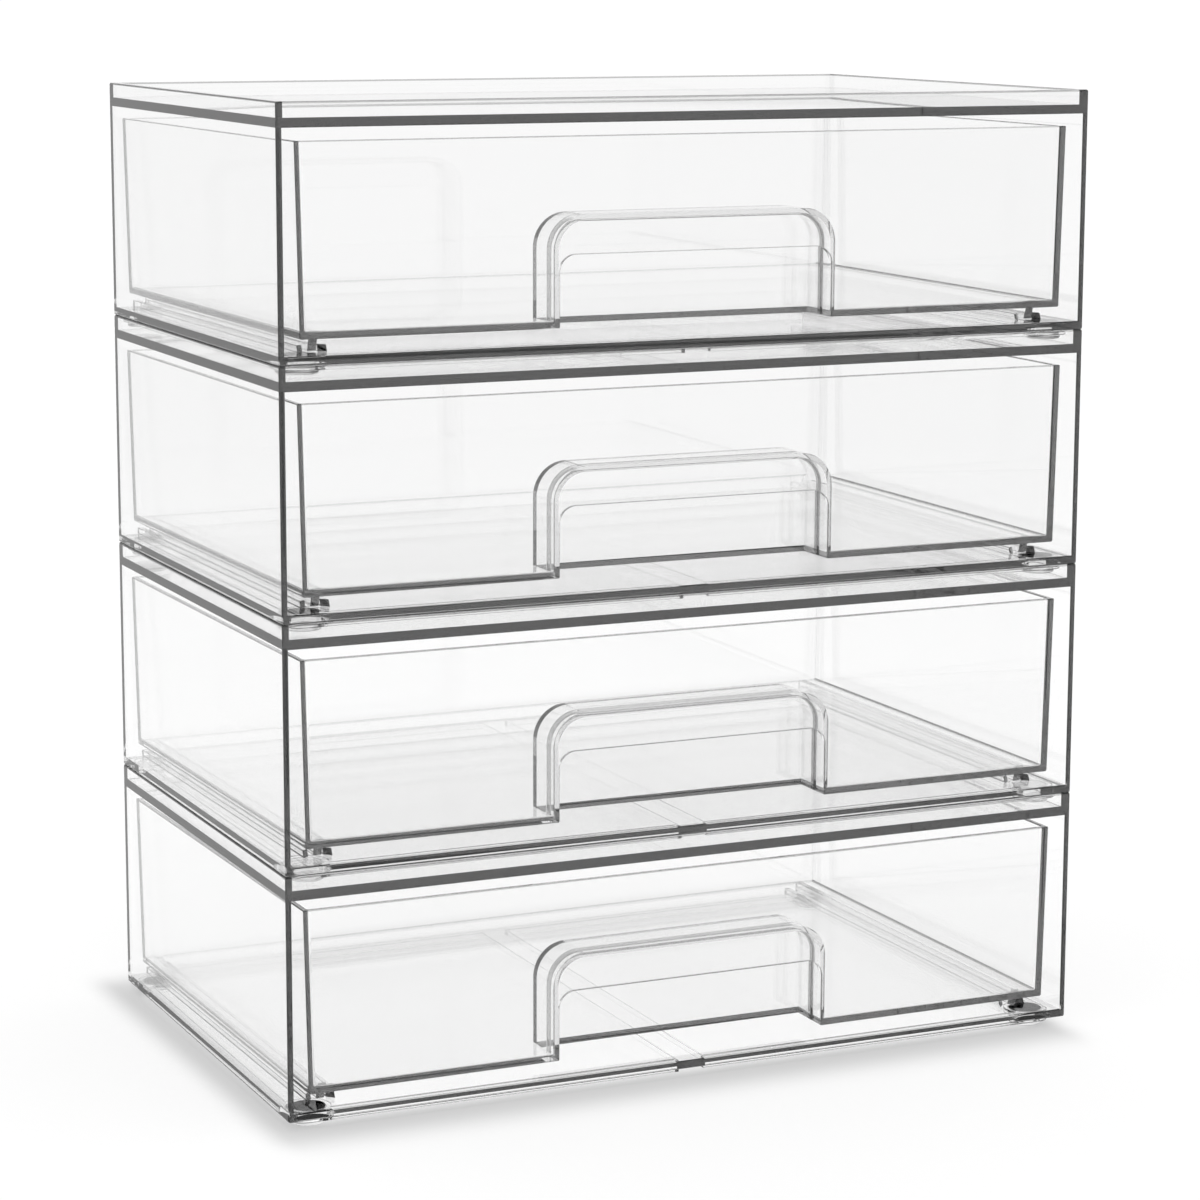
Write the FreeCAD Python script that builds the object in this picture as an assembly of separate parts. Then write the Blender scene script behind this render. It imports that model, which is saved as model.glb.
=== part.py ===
"""Stack of four clear storage units: each is an open-fronted casing with one drawer and four feet.

Millimetres, +Z up, drawers open towards -Y. The origin is the middle of the stack's footprint,
at the level that the lowest feet stand on.
"""
import FreeCAD, Part
import math
import os

V = FreeCAD.Vector

# Stack
unit_count = 4
casing_width = 300.0        # outside, across the open front
casing_depth = 184.0        # outside, front edge to back face
casing_height = 83.8        # bottom edge to rim top, so also the stacking pitch
rear_taper = 2.2            # each side comes in this much from front to back

# Casing walls
side_wall = 2.0
rear_wall = 2.0
floor_wall = 3.0
top_plate = 3.1
rim_height = 5.2            # rim above the top plate, a shallow tray that takes the next unit's base
rim_wall = 2.8
casing_edge_radius = 0.7
inner_corner_radius = 0.4
rim_inner_radius = 0.35
opening_edge_radius = 0.5   # inner edge of the open front

# Two rectangular base frames under the casing floor, nesting inside the rim of the unit below
frame_depth = 2.0
frame_width = 2.6           # along the front, the back and the outer side
frame_gap_width = 0.7       # along the gap
nest_clearance = 0.8        # frame to the inside of the rim
frame_gap = 9.5             # between the two frames
frame_corner_radius = 4.0

# Feet, seated in round recesses in a boss at each corner
boss_wall = 1.6             # round the recess
foot_diameter = 12.0
foot_height = 2.2
foot_recess = 0.8
foot_fit = 0.2              # all round, between foot and recess
foot_edge_radius = 0.5
foot_inset = 10.5           # foot centre from the casing's side, front and back faces

# Drawer
drawer_setback = 2.7        # drawer front behind the casing's front edge
drawer_side_gap = 5.0       # drawer rim to the casing's side wall
drawer_rear_gap = 2.0
drawer_top_gap = 4.3
drawer_floor_gap = 5.0      # under the drawer, above the casing floor
drawer_draft = 1.3          # each side leans in this much from rim to base
drawer_wall = 2.0
drawer_floor = 2.0
drawer_corner_radius = 0.8  # upright edges
drawer_edge_radius = 0.6    # round the base
drawer_inner_radius = 0.8

# Runners under the drawer and the guide ribs they run between
runner_inset = 15.5         # runner centre from the casing's outer side
runner_width = 3.0
runner_setback = 7.3        # runner nose behind the drawer front
runner_nose = 2.0           # how far the nose leans back towards its foot
runner_clearance = 0.3      # runner foot above the casing floor
guide_side_clearance = 1.15
guide_width = 2.4
guide_height = 2.2
guide_setback = 10.5        # guide nose behind the casing's front edge
guide_nose = 1.6            # how far the nose leans back
guide_lead = 2.4            # chamfer of the nose towards the runner

# Finger grip: an arched pocket in the drawer front, open below, with a lip hanging over it
grip_width = 101.4          # inside
grip_height = 35.4          # drawer base to pocket ceiling
grip_depth = 17.5           # drawer front to pocket back
grip_wall = 1.8
grip_corner_radius = 10.0
lip_clearance_height = 24.2   # drawer base to the lip's lower edge
lip_corner_radius = 6.0
bead_width = 2.8            # grip bead round the pocket, front to back
bead_height = 0.7
bead_edge_radius = 0.6
bead_setback = 7.8          # bead centre behind the drawer front

overshoot = 1.0             # how far a cutting tool reaches past the face it opens
touching = 0.01             # closer than this counts as lying on a face

# Worked-out places, measured from a casing's own bottom edge
y_front = -casing_depth / 2
y_rear = casing_depth / 2
stand_height = frame_depth + foot_height - foot_recess
plate_top = casing_height - rim_height
ceiling = plate_top - top_plate
drawer_base = floor_wall + drawer_floor_gap
drawer_rim = ceiling - drawer_top_gap
drawer_front = y_front + drawer_setback
drawer_rear = y_rear - rear_wall - drawer_rear_gap
drawer_half_rim = casing_width / 2 - side_wall - drawer_side_gap
drawer_half_base = drawer_half_rim - drawer_draft
runner_x = casing_width / 2 - runner_inset
guide_offset = runner_width / 2 + guide_side_clearance + guide_width / 2


def casing_half(y, inset=0.0):
    """Half the casing's width at depth y, less an inset from each side."""
    return casing_width / 2 - rear_taper * (y - y_front) / casing_depth - inset


def tapered_block(inset, front, rear, low, high):
    """Block between two depths and two heights whose sides follow the casing's taper."""
    corners = [
        V(-casing_half(front, inset), front, low),
        V(casing_half(front, inset), front, low),
        V(casing_half(rear, inset), rear, low),
        V(-casing_half(rear, inset), rear, low),
    ]
    face = Part.Face(Part.makePolygon(corners + corners[:1]))
    return face.extrude(V(0, 0, high - low))


def block(x0, x1, y0, y1, z0, z1):
    """Box between two opposite corners."""
    return Part.makeBox(x1 - x0, y1 - y0, z1 - z0, V(x0, y0, z0))


def rounded(solid, radius, picked):
    """The solid with every edge whose middle point is picked rounded to the radius."""
    edges = [e for e in solid.Edges if picked(e.CenterOfMass, e)]
    return solid.makeFillet(radius, edges)


def is_upright(edge):
    """True for an edge that rises mostly along Z."""
    box = edge.BoundBox
    return box.ZLength > max(box.XLength, box.YLength)


def arch_face(half_width, low, high, corner_radius, y):
    """Upright arch outline at depth y: straight sides, flat top, round upper corners."""
    r = corner_radius
    bend = r * (1 - 0.5 ** 0.5)
    left_low, left_high = V(-half_width, y, low), V(-half_width, y, high - r)
    top_left, top_right = V(-half_width + r, y, high), V(half_width - r, y, high)
    right_high, right_low = V(half_width, y, high - r), V(half_width, y, low)
    left_mid = V(-half_width + bend, y, high - bend)
    right_mid = V(half_width - bend, y, high - bend)
    edges = [
        Part.LineSegment(left_low, left_high).toShape(),
        Part.Arc(left_high, left_mid, top_left).toShape(),
        Part.LineSegment(top_left, top_right).toShape(),
        Part.Arc(top_right, right_mid, right_high).toShape(),
        Part.LineSegment(right_high, right_low).toShape(),
        Part.LineSegment(right_low, left_low).toShape(),
    ]
    return Part.Face(Part.Wire(edges))


def arch(half_width, low, high, corner_radius, front, rear):
    """Solid arch between two depths."""
    return arch_face(half_width, low, high, corner_radius, front).extrude(V(0, rear - front, 0))


def side_profile(points, x, width):
    """Solid of a given width, centred on x, from an outline of (y, z) points."""
    corners = [V(x - width / 2, y, z) for y, z in points]
    face = Part.Face(Part.makePolygon(corners + corners[:1]))
    return face.extrude(V(width, 0, 0))


def foot_centres():
    """Where the four feet of a casing stand, by name."""
    centres = {}
    for depth_name, y in (("front", y_front + foot_inset), ("back", y_rear - foot_inset)):
        for side_name, side in (("left", -1), ("right", 1)):
            centres[depth_name + "_" + side_name] = (side * casing_half(y, foot_inset), y)
    return centres


def casing_shell():
    """Outer block, hollowed from the front, with the tray sunk into its top."""
    shell = tapered_block(0, y_front, y_rear, 0, casing_height)
    shell = rounded(shell, casing_edge_radius, lambda c, e: True)

    hollow = tapered_block(side_wall, y_front - overshoot, y_rear - rear_wall, floor_wall, ceiling)
    hollow = rounded(hollow, inner_corner_radius, lambda c, e: is_upright(e) and c.y > 0)

    tray = tapered_block(
        rim_wall, y_front + rim_wall, y_rear - rim_wall, plate_top, casing_height + overshoot
    )
    tray = rounded(tray, inner_corner_radius, lambda c, e: is_upright(e))
    shell = shell.cut(hollow).cut(tray)

    def on_tray_mouth(centre, edge):
        level = abs(edge.BoundBox.ZMin - casing_height) < touching
        midway = casing_edge_radius + (rim_wall - casing_edge_radius) / 2
        across = abs(centre.x) < casing_half(centre.y, midway)
        along = y_front + midway < centre.y < y_rear - midway
        return level and across and along

    def on_front_opening(centre, edge):
        level = edge.BoundBox.YMax < y_front + touching
        across = abs(centre.x) < casing_half(y_front, side_wall) + touching
        upright = floor_wall - touching < centre.z < ceiling + touching
        return level and across and upright

    shell = rounded(shell, rim_inner_radius, on_tray_mouth)
    return rounded(shell, opening_edge_radius, on_front_opening)


def base_outline(inset, corner_radius, low, high):
    """Block between two heights, its sides inset from the casing's and its uprights rounded."""
    outline = tapered_block(inset, y_front + inset, y_rear - inset, low, high)
    return rounded(outline, corner_radius, lambda c, e: is_upright(e))


def base_frames():
    """The two frames under the floor, with a foot boss and its recess at each outer corner."""
    inset = rim_wall + nest_clearance
    low, high = -frame_depth - overshoot, overshoot
    recess_radius = foot_diameter / 2 + foot_fit
    middle = frame_gap / 2 + frame_gap_width

    inside = base_outline(inset + frame_width, frame_corner_radius - frame_width, low, high)
    inside = inside.cut(block(-middle, middle, y_front, y_rear, low, high))
    for x, y in foot_centres().values():
        boss = Part.makeCylinder(recess_radius + boss_wall, high - low, V(x, y, low))
        inside = inside.cut(boss)

    frames = base_outline(inset, frame_corner_radius, -frame_depth, 0).cut(inside)
    frames = frames.cut(block(-frame_gap / 2, frame_gap / 2, y_front, y_rear, low, high))
    for x, y in foot_centres().values():
        recess = Part.makeCylinder(recess_radius, foot_recess + overshoot, V(x, y, low))
        frames = frames.cut(recess)
    return frames


def guide_ribs():
    """Four low ribs along the casing floor, in two pairs that guide the drawer's runners."""
    nose = y_front + guide_setback
    top = floor_wall + guide_height
    outline = [
        (nose, floor_wall),
        (nose + guide_nose, top),
        (y_rear - rear_wall, top),
        (y_rear - rear_wall, floor_wall),
    ]
    ribs = []
    for side in (-1, 1):
        for offset in (-guide_offset, guide_offset):
            centre = side * runner_x + offset
            towards_runner = -math.copysign(guide_width / 2, offset)
            lead = [
                V(centre + towards_runner, nose, 0),
                V(centre + towards_runner, nose + guide_lead, 0),
                V(centre - towards_runner, nose, 0),
            ]
            chamfer = Part.Face(Part.makePolygon(lead + lead[:1])).extrude(V(0, 0, top + overshoot))
            ribs.append(side_profile(outline, centre, guide_width).cut(chamfer))
    return ribs


def make_casing():
    """One casing with its base frames and guide ribs, bottom edge at Z = 0."""
    return casing_shell().fuse([base_frames()] + guide_ribs()).removeSplitter()


def drawer_block(inset, front, rear, low, high):
    """Block whose sides follow the drawer's draft, with an inset from each side."""
    slope = drawer_draft / (drawer_rim - drawer_base)
    low_half = drawer_half_base + slope * (low - drawer_base) - inset
    high_half = drawer_half_base + slope * (high - drawer_base) - inset
    corners = [
        V(-low_half, front, low),
        V(low_half, front, low),
        V(high_half, front, high),
        V(-high_half, front, high),
    ]
    face = Part.Face(Part.makePolygon(corners + corners[:1]))
    return face.extrude(V(0, rear - front, 0))


def drawer_tub():
    """Open box with a slight draft."""
    tub = drawer_block(0, drawer_front, drawer_rear, drawer_base, drawer_rim)
    tub = rounded(tub, drawer_corner_radius, lambda c, e: is_upright(e))
    tub = rounded(tub, drawer_edge_radius, lambda c, e: c.z < drawer_base + touching)
    inside_floor = drawer_base + drawer_floor
    inside = drawer_block(
        drawer_wall,
        drawer_front + drawer_wall,
        drawer_rear - drawer_wall,
        inside_floor,
        drawer_rim + overshoot,
    )
    inside = rounded(inside, drawer_inner_radius, lambda c, e: (
        c.z < inside_floor + touching or is_upright(e)
    ))
    return tub.cut(inside)


def add_grip(tub):
    """The tub with its finger pocket, lip and grip bead."""
    half = grip_width / 2
    below = drawer_base - overshoot
    pocket_top = drawer_base + grip_height
    pocket_back = drawer_front + grip_depth
    lip_back = drawer_front + drawer_wall
    hood = arch(
        half + grip_wall, drawer_base, pocket_top + grip_wall, grip_corner_radius + grip_wall,
        lip_back - drawer_wall / 2, pocket_back + grip_wall,
    )
    pocket = arch(half, below, pocket_top, grip_corner_radius, lip_back, pocket_back)
    mouth = arch(
        half, below, drawer_base + lip_clearance_height, lip_corner_radius,
        drawer_front - overshoot, lip_back + overshoot,
    )
    bead_front = drawer_front + bead_setback - bead_width / 2
    bead_back = bead_front + bead_width
    bead = arch(
        half + grip_wall / 2, drawer_base, pocket_top + grip_wall / 2,
        grip_corner_radius + grip_wall / 2, bead_front, bead_back,
    ).cut(arch(
        half - bead_height, below, pocket_top - bead_height, grip_corner_radius - bead_height,
        bead_front - overshoot, bead_back + overshoot,
    ))
    bead = rounded(bead, bead_edge_radius, lambda c, e: (
        e.BoundBox.YLength < touching
        and abs(c.x) < half - bead_height + touching
        and drawer_base + touching < c.z < pocket_top - bead_height + touching
    ))
    return tub.fuse(hood).cut(pocket).cut(mouth).fuse(bead)


def runners():
    """The two runners under the drawer floor."""
    nose = drawer_front + runner_setback
    foot = floor_wall + runner_clearance
    root = drawer_base + drawer_floor / 2
    outline = [
        (nose, root),
        (nose, drawer_base),
        (nose + runner_nose, foot),
        (drawer_rear - drawer_edge_radius, foot),
        (drawer_rear - drawer_edge_radius, root),
    ]
    return [side_profile(outline, side * runner_x, runner_width) for side in (-1, 1)]


def make_drawer():
    """One drawer where it sits, closed, in a casing whose bottom edge is at Z = 0."""
    return add_grip(drawer_tub()).fuse(runners()).removeSplitter()


def make_foot(x, y):
    """One round foot, seated in its recess and standing below the frame."""
    top = foot_recess - frame_depth
    foot = Part.makeCylinder(foot_diameter / 2, foot_height, V(x, y, top - foot_height))
    return rounded(foot, foot_edge_radius, lambda c, e: e.BoundBox.ZMax < top - foot_height + touching)


def write_node(name, shape):
    """Write one solid to its own STEP file."""
    solids = shape.Solids
    assert len(solids) == 1 and solids[0].isValid(), name
    solids[0].exportStep(os.path.join("parts", name + ".step"))


def main():
    os.makedirs("parts", exist_ok=True)
    casing = make_casing()
    drawer = make_drawer()
    for number in range(1, unit_count + 1):
        lift = V(0, 0, stand_height + (number - 1) * casing_height)
        write_node("casing_%d" % number, casing.translated(lift))
        write_node("drawer_%d" % number, drawer.translated(lift))
        for place, (x, y) in foot_centres().items():
            foot = make_foot(x, y)
            write_node("foot_%d_%s" % (number, place), foot.translated(lift))


main()
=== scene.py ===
"""Dressed model of a stack of four clear storage units, each a casing with one drawer and four feet.

Metres, in the frame of the solids: +Z up, drawers open towards -Y. Each kind of piece is modelled
once, where it lies in the lowest unit, and copied up the stack.
"""
import bmesh
import bpy
import math
from mathutils import Matrix, Vector


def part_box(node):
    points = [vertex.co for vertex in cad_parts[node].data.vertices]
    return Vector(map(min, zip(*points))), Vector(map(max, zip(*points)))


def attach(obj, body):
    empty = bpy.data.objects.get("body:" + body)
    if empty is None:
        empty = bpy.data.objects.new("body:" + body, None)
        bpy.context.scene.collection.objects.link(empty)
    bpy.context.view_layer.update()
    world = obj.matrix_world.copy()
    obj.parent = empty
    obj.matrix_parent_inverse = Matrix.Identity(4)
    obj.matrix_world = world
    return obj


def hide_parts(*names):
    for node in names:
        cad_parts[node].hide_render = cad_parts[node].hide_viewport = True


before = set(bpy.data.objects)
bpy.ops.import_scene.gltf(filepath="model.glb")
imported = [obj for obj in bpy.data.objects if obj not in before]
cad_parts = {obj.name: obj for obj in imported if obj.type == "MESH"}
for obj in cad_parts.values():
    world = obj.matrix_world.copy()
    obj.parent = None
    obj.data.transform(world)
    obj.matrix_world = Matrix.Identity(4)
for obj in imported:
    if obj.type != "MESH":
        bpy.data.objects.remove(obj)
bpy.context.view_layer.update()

MM = 0.001

# Casing, as wide, deep and high as its solid
CASING_LOW, CASING_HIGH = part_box("casing_1")
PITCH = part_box("casing_2")[0].z - CASING_LOW.z
UNIT_NUMBERS = range(1, 5)
FOOT_PLACES = ("front_left", "front_right", "back_left", "back_right")
BASE_FRAME_DEPTH = 2.0 * MM
REAR_TAPER = 2.2 * MM            # each side comes in this much from front to back
SIDE_WALL = 2.0 * MM
REAR_WALL = 2.0 * MM
FLOOR_WALL = 3.0 * MM
TOP_PLATE = 3.1 * MM
RIM_HEIGHT = 5.2 * MM
RIM_WALL = 2.8 * MM
CASING_EDGE_RADIUS = 0.7 * MM
RIM_INNER_RADIUS = 0.35 * MM
OPENING_EDGE_RADIUS = 0.5 * MM

# Base frames under the floor and the bosses that hold the feet
BASE_FRAME_WIDTH = 2.6 * MM
BASE_FRAME_INNER_WIDTH = 0.7 * MM    # of the two runs beside the gap
BASE_FRAME_GAP = 9.5 * MM
NEST_CLEARANCE = 0.8 * MM
BASE_FRAME_RADIUS = 4.0 * MM
BOSS_WALL = 1.6 * MM
FOOT_RECESS = 0.8 * MM
FOOT_FIT = 0.2 * MM
FOOT_EDGE_RADIUS = 0.5 * MM

# Guide ribs on the casing floor
GUIDE_WIDTH = 2.4 * MM
GUIDE_HEIGHT = 2.2 * MM
GUIDE_SETBACK = 10.5 * MM
GUIDE_NOSE = 1.6 * MM            # how far the nose leans back
GUIDE_LEAD = 2.4 * MM            # chamfer of the nose, on the side of the runner
GUIDE_SIDE_CLEARANCE = 1.15 * MM

# Drawer, as wide, deep and high as its solid
DRAWER_LOW, DRAWER_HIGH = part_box("drawer_1")
DRAWER_FLOOR_GAP = 5.0 * MM
DRAWER_DRAFT = 1.3 * MM
DRAWER_WALL = 2.0 * MM
DRAWER_FLOOR = 2.0 * MM
DRAWER_CORNER_RADIUS = 0.8 * MM
DRAWER_EDGE_RADIUS = 0.6 * MM
DRAWER_RIM_RADIUS = 0.4 * MM
DRAWER_INNER_RADIUS = 0.8 * MM
RUNNER_INSET = 15.5 * MM
RUNNER_WIDTH = 3.0 * MM
RUNNER_SETBACK = 7.3 * MM
RUNNER_NOSE = 2.0 * MM

# Finger grip in the drawer front
GRIP_WIDTH = 101.4 * MM
GRIP_HEIGHT = 35.4 * MM
GRIP_DEPTH = 17.5 * MM
GRIP_WALL = 1.8 * MM
GRIP_CORNER_RADIUS = 10.0 * MM
LIP_CLEARANCE_HEIGHT = 24.2 * MM
LIP_CORNER_RADIUS = 6.0 * MM
BEAD_WIDTH = 2.8 * MM
BEAD_HEIGHT = 0.7 * MM
BEAD_EDGE_RADIUS = 0.6 * MM
BEAD_SETBACK = 7.8 * MM

OVERSHOOT = 1.0 * MM             # how far a cutting tool reaches past the face that it opens
ROOT = 1.0 * MM                  # how far a rib reaches into the wall that it grows from
TOUCHING = 0.01 * MM
SMOOTH_ANGLE = math.radians(32)
SHARP_ANGLE = math.radians(40)
FLAT_ANGLE = math.radians(1)
MOULD_RADIUS = 0.25 * MM

# Share of a direction that lies along an axis: for an edge that runs along it, for one that
# runs across it, and for a face that looks along it
RUNS_ALONG = 0.9
RUNS_ACROSS = 0.1
LOOKS_ALONG = 0.99

# Flats that make up each round
EDGE_STEPS = 8
FINE_EDGE_STEPS = 6
MOULD_STEPS = 3
CORNER_STEPS = 12
ARCH_STEPS = 32
DISC_SIDES = 96

# Places in the lowest unit
FRONT = CASING_LOW.y
REAR = CASING_HIGH.y
HALF_WIDTH = CASING_HIGH.x
BOTTOM = CASING_LOW.z + BASE_FRAME_DEPTH
TOP = CASING_HIGH.z
FLOOR_TOP = BOTTOM + FLOOR_WALL
PLATE_TOP = TOP - RIM_HEIGHT
CEILING = PLATE_TOP - TOP_PLATE
DRAWER_FRONT = DRAWER_LOW.y
DRAWER_REAR = DRAWER_HIGH.y
DRAWER_RIM = DRAWER_HIGH.z
DRAWER_BASE = FLOOR_TOP + DRAWER_FLOOR_GAP
RUNNER_FOOT = DRAWER_LOW.z
RUNNER_X = HALF_WIDTH - RUNNER_INSET
GUIDE_OFFSET = RUNNER_WIDTH / 2 + GUIDE_SIDE_CLEARANCE + GUIDE_WIDTH / 2


# --- Modelling steps -----------------------------------------------------------------------

# Slots that tell how much painted shade a face gets, until the piece is finished
# Painted shade darkens the colour of rounded edges, and of rim and bead the most, where bent light shows
# clear plastic dark
FLAT_SLOT, EDGE_SLOT, DEEP_SLOT = 0, 1, 2


def pick(piece):
    """Selects this piece alone and makes it active."""
    bpy.ops.object.select_all(action='DESELECT')
    piece.select_set(True)
    bpy.context.view_layer.objects.active = piece


def named_blank(name):
    """Names the primitive just added, keeps its place in its mesh and gives it the slots."""
    piece = bpy.context.object
    piece.name = name
    bpy.ops.object.transform_apply()
    for slot in (FLAT_SLOT, EDGE_SLOT, DEEP_SLOT):
        piece.data.materials.append(None)
    return piece


def block(name, low, high):
    """Box between two opposite corners."""
    low, high = Vector(low), Vector(high)
    bpy.ops.object.select_all(action='DESELECT')
    bpy.ops.mesh.primitive_cube_add(size=1, location=(low + high) / 2, scale=high - low)
    return named_blank(name)


def disc(name, centre, radius, low, high):
    """Upright round block between two heights."""
    place = (centre[0], centre[1], (low + high) / 2)
    bpy.ops.object.select_all(action='DESELECT')
    bpy.ops.mesh.primitive_cylinder_add(
        vertices=DISC_SIDES, radius=radius, depth=high - low, location=place
    )
    return named_blank(name)


def edit(piece, element):
    """Opens a piece in edit mode with nothing selected and returns its mesh to select in."""
    pick(piece)
    bpy.ops.object.mode_set(mode='EDIT')
    bpy.ops.mesh.select_mode(type=element)
    bpy.ops.mesh.select_all(action='DESELECT')
    return bmesh.from_edit_mesh(piece.data)


def select_end(piece, facing):
    """Opens a piece with only its outermost face that looks in a direction selected."""
    mesh = edit(piece, 'FACE')
    facing = Vector(facing)
    flat = [face for face in mesh.faces if face.normal.dot(facing) > LOOKS_ALONG]
    outermost = max(flat, key=lambda face: face.calc_center_median().dot(facing))
    outermost.select_set(True)
    bpy.ops.object.mode_set(mode='OBJECT')
    bpy.ops.object.mode_set(mode='EDIT')


def select_edges(piece, wanted):
    """Opens a piece with each edge selected for which wanted(middle, direction) is true."""
    mesh = edit(piece, 'EDGE')
    for edge in mesh.edges:
        start, end = (corner.co for corner in edge.verts)
        edge.select_set(bool(wanted((start + end) / 2, (end - start).normalized())))
    bmesh.update_edit_mesh(piece.data)


def done():
    """Leaves edit mode."""
    bpy.ops.object.mode_set(mode='OBJECT')


def narrow(piece, facing, share):
    """Scales the end that looks in a direction to a share of its width along X."""
    select_end(piece, facing)
    bpy.ops.transform.resize(value=(share, 1, 1))
    done()


def move_edges(piece, shift, wanted):
    """Moves each edge for which wanted(middle, direction) is true."""
    select_edges(piece, wanted)
    bpy.ops.transform.translate(value=shift)
    done()


def round_edges(piece, radius, steps, wanted, slot=EDGE_SLOT):
    """Rounds each edge for which wanted(middle, direction) is true, unless it lies flat in a face."""
    select_edges(piece, wanted)
    mesh = bmesh.from_edit_mesh(piece.data)
    for edge in mesh.edges:
        if edge.select and edge.calc_face_angle(0) < FLAT_ANGLE:
            edge.select_set(False)
    bmesh.update_edit_mesh(piece.data)
    # The new round goes in a slot, which sets its painted shade
    bpy.ops.mesh.bevel(
        offset=radius, segments=steps, affect='EDGES',
        loop_slide=False, clamp_overlap=False, material=slot,
    )
    done()


def soften_sharp_edges(piece, spared=lambda middle: False):
    """Gives each outward edge that is still sharp the small round that moulding leaves.

    Edges for which spared(middle) is true are left as they are.
    """
    edit(piece, 'EDGE')
    bpy.ops.mesh.edges_select_sharp(sharpness=SHARP_ANGLE)
    mesh = bmesh.from_edit_mesh(piece.data)
    for edge in mesh.edges:
        middle = (edge.verts[0].co + edge.verts[1].co) / 2
        if edge.select and (not edge.is_convex or spared(middle)):
            edge.select_set(False)
    bmesh.update_edit_mesh(piece.data)
    # The small rounds go in the edge slot, which gets painted shade
    bpy.ops.mesh.bevel(
        offset=MOULD_RADIUS, segments=MOULD_STEPS, affect='EDGES',
        loop_slide=False, clamp_overlap=False, material=EDGE_SLOT,
    )
    done()


def combine(piece, tool, operation):
    """Takes a piece and a tool through one boolean step and removes the tool."""
    pick(piece)
    step = piece.modifiers.new("step", 'BOOLEAN')
    step.operation = operation
    step.solver = 'EXACT'
    step.material_mode = 'INDEX'
    step.object = tool
    bpy.ops.object.modifier_apply(modifier="step")
    bpy.data.objects.remove(tool)


def cut(piece, tool):
    """Cuts the tool's shape out of the piece."""
    combine(piece, tool, 'DIFFERENCE')


def weld(piece, tool):
    """Makes the tool's shape one with the piece."""
    combine(piece, tool, 'UNION')


def finish_surface(piece):
    """Merges doubles, closes slits, turns faces outward and shades rounds smooth and flats flat.

    The painted shade of each face goes from the slots into an attribute that the material reads.
    """
    pick(piece)
    bpy.ops.object.mode_set(mode='EDIT')
    bpy.ops.mesh.select_all(action='SELECT')
    bpy.ops.mesh.remove_doubles(threshold=TOUCHING / 10)
    bpy.ops.mesh.fill_holes(sides=3)
    bpy.ops.mesh.normals_make_consistent(inside=False)
    bpy.ops.object.mode_set(mode='OBJECT')
    bpy.ops.object.shade_smooth_by_angle(angle=SMOOTH_ANGLE)
    weighted = piece.modifiers.new("flats", 'WEIGHTED_NORMAL')
    weighted.keep_sharp = True
    bpy.ops.object.modifier_apply(modifier="flats")
    shades = piece.data.attributes.new("painted_edge_shade", 'FLOAT', 'FACE')
    # Painted shade: each face's slot becomes its share of the darkening
    for face in piece.data.polygons:
        shades.data[face.index].value = face.material_index / DEEP_SLOT
        face.material_index = 0
    piece.data.materials.clear()


def put_in_slot(piece, slot, wanted):
    """Moves each face for which wanted(face) is true to a slot."""
    for face in piece.data.polygons:
        if wanted(face):
            face.material_index = slot


def is_softened(face):
    """True for a face of a rounded edge."""
    return face.material_index == EDGE_SLOT


def is_upright(direction):
    """True for an edge that runs up and down."""
    return abs(direction.z) > RUNS_ALONG


# --- Casing --------------------------------------------------------------------------------

def casing_half(y, inset=0.0):
    """Half the casing's width at depth y, less an inset from each side."""
    return HALF_WIDTH - REAR_TAPER * (y - FRONT) / (REAR - FRONT) - inset


def tapered_block(name, inset, front, rear, low, high):
    """Block whose sides follow the casing's taper."""
    half = casing_half(front, inset)
    piece = block(name, (-half, front, low), (half, rear, high))
    narrow(piece, (0, 1, 0), casing_half(rear, inset) / half)
    return piece


def foot_centres():
    """Where the four feet stand, by name, from their solids."""
    centres = {}
    for place in FOOT_PLACES:
        low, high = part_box("foot_1_" + place)
        centres[place] = (low + high) / 2
    return centres


def base_outline(name, inset, radius, low, high):
    """Block between two heights, its sides inset from the casing's and its uprights rounded."""
    piece = tapered_block(name, inset, FRONT + inset, REAR - inset, low, high)
    round_edges(piece, radius, CORNER_STEPS, lambda middle, along: is_upright(along), FLAT_SLOT)
    return piece


def model_base_frames():
    """The two frames under the floor, with a foot boss and its recess at each outer corner."""
    inset = RIM_WALL + NEST_CLEARANCE
    low, high = CASING_LOW.z, BOTTOM + ROOT
    below, above = low - OVERSHOOT, high + OVERSHOOT
    half_gap = BASE_FRAME_GAP / 2
    half_middle = half_gap + BASE_FRAME_INNER_WIDTH
    low_foot, high_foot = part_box("foot_1_front_left")
    recess_radius = (high_foot.x - low_foot.x) / 2 + FOOT_FIT

    inside_radius = BASE_FRAME_RADIUS - BASE_FRAME_WIDTH
    inside = base_outline("inside", inset + BASE_FRAME_WIDTH, inside_radius, below, above)
    cut(inside, block(
        "middle", (-half_middle, FRONT, below - OVERSHOOT), (half_middle, REAR, above + OVERSHOOT),
    ))
    for centre in foot_centres().values():
        boss_radius = recess_radius + BOSS_WALL
        cut(inside, disc("boss", centre, boss_radius, below - OVERSHOOT, above + OVERSHOOT))

    frames = base_outline("base_frames", inset, BASE_FRAME_RADIUS, low, high)
    cut(frames, inside)
    cut(frames, block("gap", (-half_gap, FRONT, below), (half_gap, REAR, above)))
    for centre in foot_centres().values():
        cut(frames, disc("recess", centre, recess_radius, below, low + FOOT_RECESS))
    soften_sharp_edges(frames)
    # No painted shade on the frames
    put_in_slot(frames, FLAT_SLOT, lambda face: True)
    return frames


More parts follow.
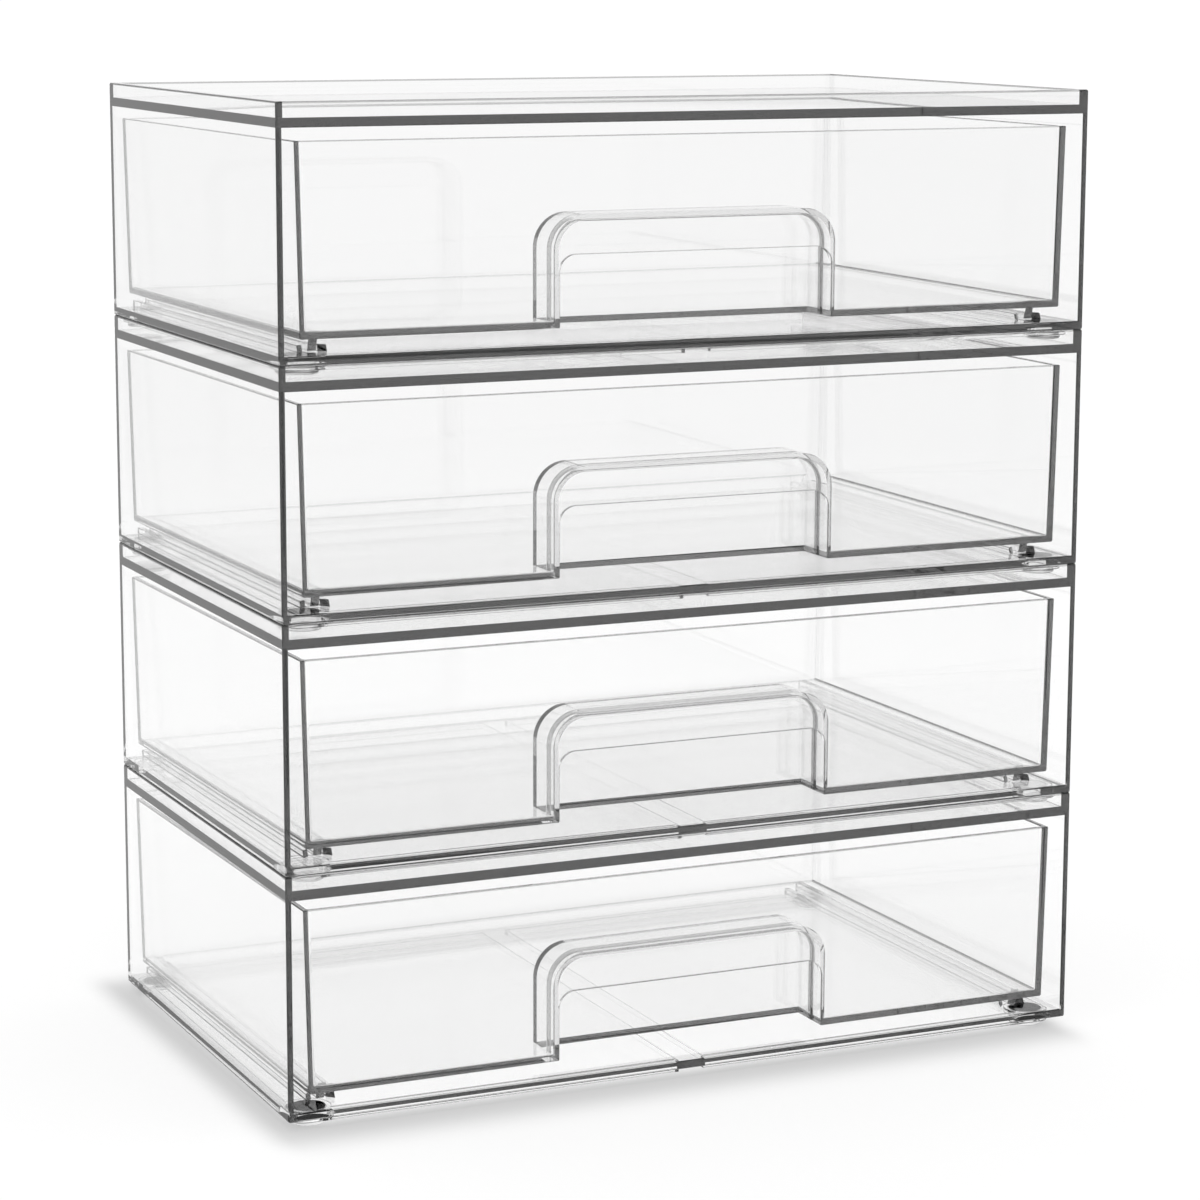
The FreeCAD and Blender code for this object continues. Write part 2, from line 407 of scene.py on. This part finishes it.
def nosed_rib(name, x, width, front, rear, foot, root, nose, lead=0.0):
    """Rib along Y whose front end leans back by nose towards its foot.

    A lead chamfers the front end in plan, on the +X side, or on the -X side where it is negative.
    """
    rib = block(name, (x - width / 2, front, min(foot, root)), (x + width / 2, rear, max(foot, root)))

    def foot_of_nose(middle, along):
        return middle.y < front + TOUCHING and abs(middle.z - foot) < TOUCHING

    def led_side(middle, along):
        beside = (middle.x - x) * math.copysign(1, lead) > width / 2 - TOUCHING
        return beside and middle.y < front + nose + TOUCHING and abs(along.y) < RUNS_ALONG

    move_edges(rib, (0, nose, 0), foot_of_nose)
    if lead:
        move_edges(rib, (0, abs(lead), 0), led_side)
    soften_sharp_edges(rib)
    # No painted shade on the ribs
    put_in_slot(rib, FLAT_SLOT, lambda face: True)
    return rib


def model_shell():
    """Block with a tray sunk into its top and a hollow drawn in from the front."""
    shell = tapered_block("casing", 0, FRONT, REAR, BOTTOM, TOP)

    select_end(shell, (0, 0, 1))
    bpy.ops.mesh.inset(thickness=RIM_WALL, depth=0)
    bpy.ops.mesh.extrude_region_move(TRANSFORM_OT_translate={"value": (0, 0, -RIM_HEIGHT)})
    done()

    select_end(shell, (0, -1, 0))
    bpy.ops.mesh.inset(thickness=SIDE_WALL, depth=0)
    done()
    opening_top, opening_foot = TOP - SIDE_WALL, BOTTOM + SIDE_WALL
    inside = casing_half(FRONT, SIDE_WALL) + TOUCHING

    def opening_level(level):
        def at_level(middle, along):
            at_front = middle.y < FRONT + TOUCHING and abs(middle.x) < inside
            return at_front and abs(along.x) > RUNS_ALONG and abs(middle.z - level) < TOUCHING
        return at_level

    move_edges(shell, (0, 0, CEILING - opening_top), opening_level(opening_top))
    move_edges(shell, (0, 0, FLOOR_TOP - opening_foot), opening_level(opening_foot))

    def hollow_face(face):
        centre = face.calc_center_median()
        return centre.y < FRONT + TOUCHING and abs(centre.x) < TOUCHING and FLOOR_TOP < centre.z < CEILING

    mesh = edit(shell, 'FACE')
    for face in mesh.faces:
        face.select_set(hollow_face(face))
    bmesh.update_edit_mesh(shell.data)
    depth = REAR - REAR_WALL - FRONT
    bpy.ops.mesh.extrude_region_move(TRANSFORM_OT_translate={"value": (0, depth, 0)})
    share = casing_half(REAR - REAR_WALL, SIDE_WALL) / casing_half(FRONT, SIDE_WALL)
    bpy.ops.transform.resize(value=(share, 1, 1))
    done()
    return shell


def round_shell(shell):
    """Rounds the shell's outer edges, tray mouth and front opening, then softens what is left."""
    def outer_edge(middle, along):
        if abs(middle.z - TOP) < TOUCHING:
            beside = abs(middle.x) >= casing_half(middle.y, RIM_WALL / 4)
            return beside or abs(middle.y) >= REAR - RIM_WALL / 4
        at_side = abs(middle.x) > casing_half(middle.y, TOUCHING)
        return abs(middle.z - BOTTOM) < TOUCHING or (is_upright(along) and at_side)

    round_edges(shell, CASING_EDGE_RADIUS, EDGE_STEPS, outer_edge)

    def tray_mouth(middle, along):
        half = casing_half(middle.y, RIM_WALL)
        beside = abs(abs(middle.x) - half) < 20 * TOUCHING and abs(middle.y) < REAR - RIM_WALL + TOUCHING
        across = abs(abs(middle.y) - (REAR - RIM_WALL)) < TOUCHING and abs(middle.x) < half
        return abs(middle.z - TOP) < TOUCHING and (beside or across)

    round_edges(shell, RIM_INNER_RADIUS, FINE_EDGE_STEPS, tray_mouth)

    def front_opening(middle, along):
        across = abs(middle.x) < casing_half(FRONT, SIDE_WALL) + TOUCHING
        level = FLOOR_TOP - TOUCHING < middle.z < CEILING + TOUCHING
        return middle.y < FRONT + TOUCHING and across and level

    round_edges(shell, OPENING_EDGE_RADIUS, FINE_EDGE_STEPS, front_opening)
    soften_sharp_edges(shell)


def model_casing():
    """Shell with the frames under its floor and the guide ribs on it."""
    casing = model_shell()
    round_shell(casing)
    top_of_low_rounds, foot_of_rim_rounds = BOTTOM + CASING_EDGE_RADIUS, TOP - CASING_EDGE_RADIUS
    # Painted shade: none on the low rounds, the darkest on the rim's rounds
    put_in_slot(casing, FLAT_SLOT, lambda face: face.center.z < top_of_low_rounds)
    put_in_slot(casing, DEEP_SLOT, lambda face: is_softened(face) and face.center.z > foot_of_rim_rounds)
    weld(casing, model_base_frames())
    for side in (-1, 1):
        for offset in (-GUIDE_OFFSET, GUIDE_OFFSET):
            weld(casing, nosed_rib(
                "guide", side * RUNNER_X + offset, GUIDE_WIDTH, FRONT + GUIDE_SETBACK,
                REAR - REAR_WALL + ROOT, FLOOR_TOP + GUIDE_HEIGHT, FLOOR_TOP - ROOT,
                GUIDE_NOSE, -math.copysign(GUIDE_LEAD, offset),
            ))
    finish_surface(casing)
    return casing


# --- Drawer --------------------------------------------------------------------------------

def drafted_block(name, inset, front, rear, low, high):
    """Block whose sides follow the drawer's draft."""
    def half(z):
        return DRAWER_HIGH.x - DRAWER_DRAFT * (DRAWER_RIM - z) / (DRAWER_RIM - DRAWER_BASE) - inset

    piece = block(name, (-half(high), front, low), (half(high), rear, high))
    narrow(piece, (0, 0, -1), half(low) / half(high))
    return piece


def arch(name, half_width, low, high, radius, front, rear):
    """Block with its two upper edges rounded along its depth."""
    piece = block(name, (-half_width, front, low), (half_width, rear, high))

    def upper_side(middle, along):
        return abs(along.y) > RUNS_ALONG and middle.z > high - TOUCHING

    round_edges(piece, radius, ARCH_STEPS, upper_side, FLAT_SLOT)
    return piece


def model_tub():
    """Open box with a slight draft."""
    tub = drafted_block("drawer", 0, DRAWER_FRONT, DRAWER_REAR, DRAWER_BASE, DRAWER_RIM)

    def upright(middle, along):
        return is_upright(along)

    def foot_edge(middle, along):
        return middle.z < DRAWER_BASE + TOUCHING

    round_edges(tub, DRAWER_CORNER_RADIUS, EDGE_STEPS, upright, FLAT_SLOT)
    round_edges(tub, DRAWER_EDGE_RADIUS, EDGE_STEPS, foot_edge, FLAT_SLOT)
    inside_floor = DRAWER_BASE + DRAWER_FLOOR
    inside = drafted_block(
        "inside", DRAWER_WALL, DRAWER_FRONT + DRAWER_WALL, DRAWER_REAR - DRAWER_WALL,
        inside_floor, DRAWER_RIM + OVERSHOOT,
    )

    def inner_edge(middle, along):
        return middle.z < inside_floor + TOUCHING or is_upright(along)

    def rim_edge(middle, along):
        return middle.z > DRAWER_RIM - TOUCHING

    round_edges(inside, DRAWER_INNER_RADIUS, EDGE_STEPS, inner_edge, FLAT_SLOT)
    cut(tub, inside)
    round_edges(tub, DRAWER_RIM_RADIUS, FINE_EDGE_STEPS, rim_edge)
    return tub


def model_grip(tub):
    """Adds the finger pocket and its lip to the tub and softens the edges."""
    half = GRIP_WIDTH / 2
    below = DRAWER_BASE - OVERSHOOT
    pocket_top = DRAWER_BASE + GRIP_HEIGHT
    pocket_back = DRAWER_FRONT + GRIP_DEPTH
    lip_back = DRAWER_FRONT + DRAWER_WALL
    weld(tub, arch(
        "hood", half + GRIP_WALL, DRAWER_BASE + DRAWER_FLOOR / 2, pocket_top + GRIP_WALL,
        GRIP_CORNER_RADIUS + GRIP_WALL, lip_back - DRAWER_WALL / 2, pocket_back + GRIP_WALL,
    ))
    cut(tub, arch("pocket", half, below, pocket_top, GRIP_CORNER_RADIUS, lip_back, pocket_back))
    cut(tub, arch(
        "mouth", half, below, DRAWER_BASE + LIP_CLEARANCE_HEIGHT, LIP_CORNER_RADIUS,
        DRAWER_FRONT - OVERSHOOT, lip_back + OVERSHOOT,
    ))

    def lip_runs_out(middle):
        return abs(middle.y - lip_back) < TOUCHING and abs(middle.x) > half - 3 * MOULD_RADIUS

    soften_sharp_edges(tub, lip_runs_out)


def model_bead():
    """Rounded bead that runs round the inside of the finger pocket."""
    half = GRIP_WIDTH / 2
    pocket_top = DRAWER_BASE + GRIP_HEIGHT
    front = DRAWER_FRONT + BEAD_SETBACK - BEAD_WIDTH / 2
    back = front + BEAD_WIDTH
    bead = arch(
        "bead", half + GRIP_WALL / 2, DRAWER_BASE + 2 * MOULD_RADIUS, pocket_top + GRIP_WALL / 2,
        GRIP_CORNER_RADIUS + GRIP_WALL / 2, front, back,
    )
    cut(bead, arch(
        "throat", half - BEAD_HEIGHT, DRAWER_BASE - OVERSHOOT, pocket_top - BEAD_HEIGHT,
        GRIP_CORNER_RADIUS - BEAD_HEIGHT, front - OVERSHOOT, back + OVERSHOOT,
    ))

    def throat_edge(middle, along):
        inside = abs(middle.x) < half - BEAD_HEIGHT + TOUCHING
        below_top = middle.z < pocket_top - BEAD_HEIGHT + TOUCHING
        above_foot = middle.z > DRAWER_BASE + 3 * MOULD_RADIUS
        return abs(along.y) < RUNS_ACROSS and inside and below_top and above_foot

    round_edges(bead, BEAD_EDGE_RADIUS, EDGE_STEPS, throat_edge)
    # Painted shade: the whole bead gets the darkest
    put_in_slot(bead, DEEP_SLOT, lambda face: True)
    return bead


def model_drawer():
    """Tub with its finger grip and two runners."""
    drawer = model_tub()
    model_grip(drawer)
    weld(drawer, model_bead())
    for side in (-1, 1):
        weld(drawer, nosed_rib(
            "runner", side * RUNNER_X, RUNNER_WIDTH, DRAWER_FRONT + RUNNER_SETBACK,
            DRAWER_REAR - DRAWER_EDGE_RADIUS, RUNNER_FOOT, DRAWER_BASE + DRAWER_FLOOR / 2, RUNNER_NOSE,
        ))
    finish_surface(drawer)
    return drawer


# --- Foot ----------------------------------------------------------------------------------

def model_foot():
    """Round foot with a softened lower edge."""
    low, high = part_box("foot_1_front_left")
    foot = disc("foot", (low + high) / 2, (high.x - low.x) / 2, low.z, high.z)

    def lower_edge(middle, along):
        return middle.z < low.z + TOUCHING and abs(along.z) < RUNS_ACROSS

    round_edges(foot, FOOT_EDGE_RADIUS, EDGE_STEPS, lower_edge)
    finish_surface(foot)
    return foot


# --- Materials -----------------------------------------------------------------------------

def new_group(name, inputs, outputs):
    """Empty shader node group with named value inputs and outputs."""
    group = bpy.data.node_groups.new(name, 'ShaderNodeTree')
    for label, default in inputs:
        socket = group.interface.new_socket(name=label, in_out='INPUT', socket_type='NodeSocketFloat')
        socket.default_value = default
    for label in outputs:
        group.interface.new_socket(name=label, in_out='OUTPUT', socket_type='NodeSocketFloat')
    return group, group.nodes.new("NodeGroupInput"), group.nodes.new("NodeGroupOutput")


def arithmetic(nodes, links, operation, *values):
    """One step of arithmetic; a value is another node's output or a plain number."""
    step = nodes.new("ShaderNodeMath")
    step.operation = operation
    for socket, value in zip(step.inputs, values):
        if isinstance(value, bpy.types.NodeSocket):
            links.new(value, socket)
        else:
            socket.default_value = value
    return step.outputs[0]


def map_range(nodes, links, value, from_low, from_high, to_low, to_high):
    """Linear map of a value, clamped."""
    mapped = nodes.new("ShaderNodeMapRange")
    ends = {"From Min": from_low, "From Max": from_high, "To Min": to_low, "To Max": to_high}
    for label, number in ends.items():
        mapped.inputs[label].default_value = number
    links.new(value, mapped.inputs["Value"])
    return mapped.outputs[0]


def noise(nodes, links, place, scale, detail):
    """Noise over the object's own coordinates."""
    texture = nodes.new("ShaderNodeTexNoise")
    texture.inputs["Detail"].default_value = detail
    texture.inputs["Scale"].default_value = scale
    links.new(place, texture.inputs["Vector"])
    return texture


def flow_ripple_group():
    """Faint waviness that plastic keeps from the mould: a height in millimetres."""
    inputs = [("Wave length", 30.0), ("Depth", 0.01)]
    group, given, result = new_group("flow_ripple", inputs, ["Height"])
    nodes, links = group.nodes, group.links
    place = nodes.new("ShaderNodeTexCoord").outputs["Object"]
    scale = arithmetic(nodes, links, 'DIVIDE', 1 / MM, given.outputs["Wave length"])
    waves = noise(nodes, links, place, 1.0, 1.0)
    links.new(scale, waves.inputs["Scale"])
    height = arithmetic(nodes, links, 'MULTIPLY', waves.outputs["Fac"], given.outputs["Depth"])
    links.new(height, result.inputs["Height"])
    return group


# Rubs are noise, stretched and turned; dust is a speck in the middle of each cell. A band runs
# from where a mark starts to where it is full.
RUB_STRETCH = (1, 14, 1)
RUB_TURN = (0.4, 0.2, 0.6)
RUB_SCALE = 60
RUB_DETAIL = 2
RUB_BAND = (0.70, 0.78)
DUST_SCALE = 120
DUST_BAND = (0.05, 0.02)


def handling_marks_group():
    """Sparse fine rubs and dust, as a mask from 0 to 1."""
    group, given, result = new_group("handling_marks", [("Amount", 1.0)], ["Mask"])
    nodes, links = group.nodes, group.links
    place = nodes.new("ShaderNodeTexCoord").outputs["Object"]
    stretched = nodes.new("ShaderNodeMapping")
    stretched.inputs["Scale"].default_value = RUB_STRETCH
    stretched.inputs["Rotation"].default_value = RUB_TURN
    links.new(place, stretched.inputs["Vector"])
    rubs = noise(nodes, links, stretched.outputs[0], RUB_SCALE, RUB_DETAIL)
    rub_mask = map_range(nodes, links, rubs.outputs["Fac"], *RUB_BAND, 0, 1)
    dust = nodes.new("ShaderNodeTexVoronoi")
    dust.inputs["Scale"].default_value = DUST_SCALE
    links.new(place, dust.inputs["Vector"])
    dust_mask = map_range(nodes, links, dust.outputs["Distance"], *DUST_BAND, 0, 1)
    both = arithmetic(nodes, links, 'MAXIMUM', rub_mask, dust_mask)
    mask = arithmetic(nodes, links, 'MULTIPLY', both, given.outputs["Amount"])
    links.new(mask, result.inputs["Mask"])
    return group


def place_group(nodes, group, **values):
    """Places a node group with its own values; names with spaces are given with underscores."""
    node = nodes.new("ShaderNodeGroup")
    node.node_tree = group
    for label, value in values.items():
        node.inputs[label.replace("_", " ")].default_value = value
    return node


def clear_material(name, ior, density, painted_edge_shade, painted_deep_shade, wave_length, wave_depth, clean, marked):
    """See-through moulded material with painted shade: darker at its softened edges and darkest at rim
    and bead.

    Waves are in millimetres. Roughness runs from clean to marked where the surface is handled.
    """
    material = bpy.data.materials.new(name)
    material.use_nodes = True
    nodes, links = material.node_tree.nodes, material.node_tree.links
    shader = nodes["Principled BSDF"]
    shader.inputs["IOR"].default_value = ior
    shader.inputs["Transmission Weight"].default_value = 1.0

    marks = place_group(nodes, GROUPS["handling_marks"], Amount=1.0)
    roughness = map_range(nodes, links, marks.outputs["Mask"], 0, 1, clean, marked)
    links.new(roughness, shader.inputs["Roughness"])

    ripple = place_group(nodes, GROUPS["flow_ripple"], Wave_length=wave_length, Depth=wave_depth)
    bump = nodes.new("ShaderNodeBump")
    bump.inputs["Distance"].default_value = MM
    links.new(ripple.outputs["Height"], bump.inputs["Height"])
    links.new(bump.outputs[0], shader.inputs["Normal"])

    # Painted shade: the base colour runs from white to the edge shade and the deep shade by the face's
    # attribute
    edges = nodes.new("ShaderNodeAttribute")
    edges.attribute_name = "painted_edge_shade"
    shade = nodes.new("ShaderNodeValToRGB")
    shade.color_ramp.elements.new(0.5)
    for stop, value in zip(shade.color_ramp.elements, (1, painted_edge_shade, painted_deep_shade)):
        stop.color = (value, value, value, 1)
    links.new(edges.outputs["Fac"], shade.inputs["Fac"])
    links.new(shade.outputs["Color"], shader.inputs["Base Color"])

    inside = nodes.new("ShaderNodeVolumeAbsorption")
    inside.inputs["Color"].default_value = (0, 0, 0, 1)
    inside.inputs["Density"].default_value = density
    links.new(inside.outputs[0], nodes["Material Output"].inputs["Volume"])
    return material


GROUPS = {"flow_ripple": flow_ripple_group(), "handling_marks": handling_marks_group()}
casing_plastic = clear_material(
    "casing_plastic", ior=1.5, density=13.0, painted_edge_shade=0.65, painted_deep_shade=0.4,
    wave_length=40.0, wave_depth=0.0015, clean=0.0, marked=0.02,
)
drawer_plastic = clear_material(
    "drawer_plastic", ior=1.5, density=10.0, painted_edge_shade=0.45, painted_deep_shade=0.2,
    wave_length=34.0, wave_depth=0.0015, clean=0.0, marked=0.02,
)
foot_silicone = clear_material(
    "foot_silicone", ior=1.41, density=6.0, painted_edge_shade=1.0, painted_deep_shade=1.0,
    wave_length=4.0, wave_depth=0.010, clean=0.1, marked=0.2,
)


# --- The stack -----------------------------------------------------------------------------

def put_in(model, name, body, material, move):
    """Copies a modelled piece to its place and puts it in for its solid."""
    piece = bpy.data.objects.new(name, model.data.copy())
    bpy.context.scene.collection.objects.link(piece)
    piece.data.transform(Matrix.Translation(move))
    piece.data.materials.append(material)
    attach(piece, body)
    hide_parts(name)


def build_stack():
    """Fills every unit with copies of the casing, the drawer and the foot."""
    casing, drawer, foot = model_casing(), model_drawer(), model_foot()
    first_foot = foot_centres()["front_left"]
    for number in UNIT_NUMBERS:
        lift = Vector((0, 0, (number - 1) * PITCH))
        casing_name, drawer_name = "casing_%d" % number, "drawer_%d" % number
        put_in(casing, casing_name, casing_name, casing_plastic, lift)
        put_in(drawer, drawer_name, drawer_name, drawer_plastic, lift)
        for place, centre in foot_centres().items():
            name = "foot_%d_%s" % (number, place)
            put_in(foot, name, casing_name, foot_silicone, lift + centre - first_foot)
    for model in (casing, drawer, foot):
        bpy.data.objects.remove(model)


# --- Room ----------------------------------------------------------------------------------

# Floor in the open
FLOOR_SIZE = 60.0
FLOOR_MATT = 0.25                # share of the lamps' light that it throws back
FLOOR_ROUGHNESS = 0.9
FLOOR_GLOW = 0.80

# Painted light on the floor under the stack, bright from a little inside the stack's edge
PAINTED_UNDER_LIGHT = 0.98
UNDER_INSET = 16 * MM
UNDER_BLEND = 14 * MM

# Painted shadow on the floor round the stack, soft and narrower beside it than in front
PAINTED_SHADOW_DEPTH = 0.31
PAINTED_SHADOW_REACH = 36 * MM
PAINTED_SHADOW_FALL = 1.8
PAINTED_SHADOW_STRETCH = (2.1, 1, 0)
PAINTED_SHADOW_RIGHT_INSET = 8 * MM

# Painted pool of light: clear walls see the floor brighter near the stack than far off
PAINTED_POOL_REACH = (0.5, 1.6)
PAINTED_POOL_SHADES = (1.05, 0.95)

# How bright clear walls see the room, from the horizon up to the zenith, by the sine of the height
WALL_SHADES = ((0.2, 1.0), (0.45, 0.8), (0.8, 0.55), (1.0, 0.45))
AMBIENT = 0.95                   # how bright the surroundings light matt surfaces

# Lamps: name, place, size and energy
LAMPS = (("key", (0.6, -0.9, 1.6), 1.2, 1.0), ("fill", (-1.0, -0.5, 1.2), 1.2, 0.5))

# Camera: place, and how it turns, looks down and rolls, in degrees
CAMERA_PLACE = (-0.5336, -1.1693, 0.3834)
CAMERA_TURN, CAMERA_DOWN, CAMERA_ROLL = 24.739, 10.138, 0.162
CAMERA_LENS, CAMERA_SENSOR = 107.78, 36.0


def seen_directly(nodes, links):
    """1 for camera, glossy and transmission rays, 0 for the rays that light matt surfaces."""
    ray = nodes.new("ShaderNodeLightPath")
    total = ray.outputs["Is Camera Ray"]
    for label in ("Is Glossy Ray", "Is Transmission Ray"):
        total = arithmetic(nodes, links, 'MAXIMUM', total, ray.outputs[label])
    return total


def vector_step(nodes, links, operation, vector, *values):
    """One step of vector arithmetic with fixed other operands."""
    step = nodes.new("ShaderNodeVectorMath")
    step.operation = operation
    links.new(vector, step.inputs[0])
    for index, value in enumerate(values, 1):
        step.inputs[index].default_value = value
    return step.outputs["Value" if operation == 'LENGTH' else "Vector"]


def distance_outside(nodes, links, low, high, stretch):
    """Distance on the floor from the rectangle between two corners, stretched along X and Y."""
    place = nodes.new("ShaderNodeTexCoord").outputs["Object"]
    middle, half = (low + high) / 2, (high - low) / 2
    steps = (
        ('SUBTRACT', middle),
        ('ABSOLUTE',),
        ('SUBTRACT', half),
        ('MAXIMUM', (0, 0, 0)),
        ('MULTIPLY', stretch),
    )
    for operation, *values in steps:
        place = vector_step(nodes, links, operation, place, *values)
    return vector_step(nodes, links, 'LENGTH', place)


def make_floor():
    """Wide pale floor: white to the eye, darkened close to the stack by a painted shadow on top of the
    lamps' own, with painted light under its clear floors.
    """
    bpy.ops.mesh.primitive_plane_add(size=FLOOR_SIZE)
    floor = bpy.context.object
    floor.name = "floor"
    material = bpy.data.materials.new("floor")
    material.use_nodes = True
    nodes, links = material.node_tree.nodes, material.node_tree.links
    shader = nodes["Principled BSDF"]
    shader.inputs["Base Color"].default_value = (FLOOR_MATT, FLOOR_MATT, FLOOR_MATT, 1)
    shader.inputs["Roughness"].default_value = FLOOR_ROUGHNESS
    shader.inputs["Specular IOR Level"].default_value = 0.0
    shader.inputs["Emission Color"].default_value = (1, 1, 1, 1)

    low, high = Vector((-HALF_WIDTH, FRONT, -1)), Vector((HALF_WIDTH, REAR, 1))
    # Painted shadow: the floor's glow drops near the stack, pulled in at the right
    dark_high = high - Vector((PAINTED_SHADOW_RIGHT_INSET, 0, 0))
    away = distance_outside(nodes, links, low, dark_high, PAINTED_SHADOW_STRETCH)
    fade = map_range(nodes, links, away, 0, PAINTED_SHADOW_REACH, 1, 0)
    fade.node.interpolation_type = 'SMOOTHSTEP'
    shade = arithmetic(nodes, links, 'POWER', fade, PAINTED_SHADOW_FALL)
    beside = map_range(nodes, links, shade, 0, 1, FLOOR_GLOW, FLOOR_GLOW - PAINTED_SHADOW_DEPTH)

    # Painted light: the floor glows brighter under the stack than round it
    inset = Vector((UNDER_INSET, UNDER_INSET, 0))
    from_middle = distance_outside(nodes, links, low + inset, high - inset, (1, 1, 1))
    glow_with_painted_light_and_shadow = map_range(nodes, links, from_middle, 0, UNDER_BLEND, PAINTED_UNDER_LIGHT, FLOOR_GLOW)
    links.new(beside, glow_with_painted_light_and_shadow.node.inputs["To Max"])

    # Painted pool of light, seen only in the clear walls, brighter near the stack
    centre = Vector((0, 0, 0))
    from_centre = distance_outside(nodes, links, centre, centre, (1, 1, 1))
    far = map_range(nodes, links, from_centre, *PAINTED_POOL_REACH, *PAINTED_POOL_SHADES)
    camera_ray = nodes.new("ShaderNodeLightPath").outputs["Is Camera Ray"]
    seen = map_range(nodes, links, camera_ray, 0, 1, 1, 1)
    links.new(far, seen.node.inputs["To Min"])
    pool = arithmetic(nodes, links, 'MULTIPLY', glow_with_painted_light_and_shadow, seen)
    strength = arithmetic(nodes, links, 'MULTIPLY', seen_directly(nodes, links), pool)
    links.new(strength, shader.inputs["Emission Strength"])
    floor.data.materials.append(material)


def make_world():
    """White surroundings that clear walls see dimmer towards the zenith, away from the white floor."""
    world = bpy.data.worlds.new("studio")
    bpy.context.scene.world = world
    world.use_nodes = True
    nodes, links = world.node_tree.nodes, world.node_tree.links
    aim = nodes.new("ShaderNodeSeparateXYZ")
    links.new(nodes.new("ShaderNodeTexCoord").outputs["Generated"], aim.inputs[0])
    walls = nodes.new("ShaderNodeValToRGB")
    stops = walls.color_ramp.elements
    for rise, shade in WALL_SHADES[1:-1]:
        stops.new(rise)
    for stop, (rise, shade) in zip(stops, WALL_SHADES):
        stop.position, stop.color = rise, (shade, shade, shade, 1)
    links.new(aim.outputs["Z"], walls.inputs["Fac"])

    ray = nodes.new("ShaderNodeLightPath").outputs["Is Camera Ray"]
    behind = map_range(nodes, links, ray, 0, 1, 0, 1)
    links.new(walls.outputs["Color"], behind.node.inputs["To Min"])
    strength = map_range(nodes, links, seen_directly(nodes, links), 0, 1, AMBIENT, 1)
    links.new(behind, strength.node.inputs["To Max"])
    links.new(strength, nodes["Background"].inputs["Strength"])
    nodes["Background"].inputs["Color"].default_value = (1, 1, 1, 1)


def add_lamp(name, place, size, energy):
    """Soft square lamp that faces the stack and isn't seen in the plastic."""
    light = bpy.data.lights.new(name, 'AREA')
    light.size = size
    light.energy = energy
    lamp = bpy.data.objects.new(name, light)
    lamp.location = place
    aim = Vector((0, 0, TOP)) - lamp.location
    lamp.rotation_euler = aim.to_track_quat('-Z', 'Y').to_euler()
    lamp.visible_glossy = False
    lamp.visible_transmission = False
    bpy.context.scene.collection.objects.link(lamp)


def add_camera():
    """Camera a little above the stack's middle, turned to show its left side."""
    data = bpy.data.cameras.new("camera")
    data.lens = CAMERA_LENS
    data.sensor_width = CAMERA_SENSOR
    camera = bpy.data.objects.new("camera", data)
    heading = Matrix.Rotation(-math.radians(CAMERA_TURN), 3, 'Z')
    tilt = Matrix.Rotation(math.radians(90 - CAMERA_DOWN), 3, 'X')
    roll = Matrix.Rotation(math.radians(CAMERA_ROLL), 3, 'Z')
    camera.rotation_euler = (heading @ tilt @ roll).to_euler()
    camera.location = CAMERA_PLACE
    bpy.context.scene.collection.objects.link(camera)
    bpy.context.scene.camera = camera


def let_light_through():
    """Bounces enough for light to cross every wall of the stack and run along inside one."""
    cycles = bpy.context.scene.cycles
    cycles.max_bounces = 160
    cycles.transmission_bounces = 96
    cycles.glossy_bounces = 128
    cycles.transparent_max_bounces = 64


add_camera()
build_stack()
make_floor()
make_world()
for lamp in LAMPS:
    add_lamp(*lamp)
let_light_through()
bpy.context.scene.view_settings.view_transform = 'Standard'
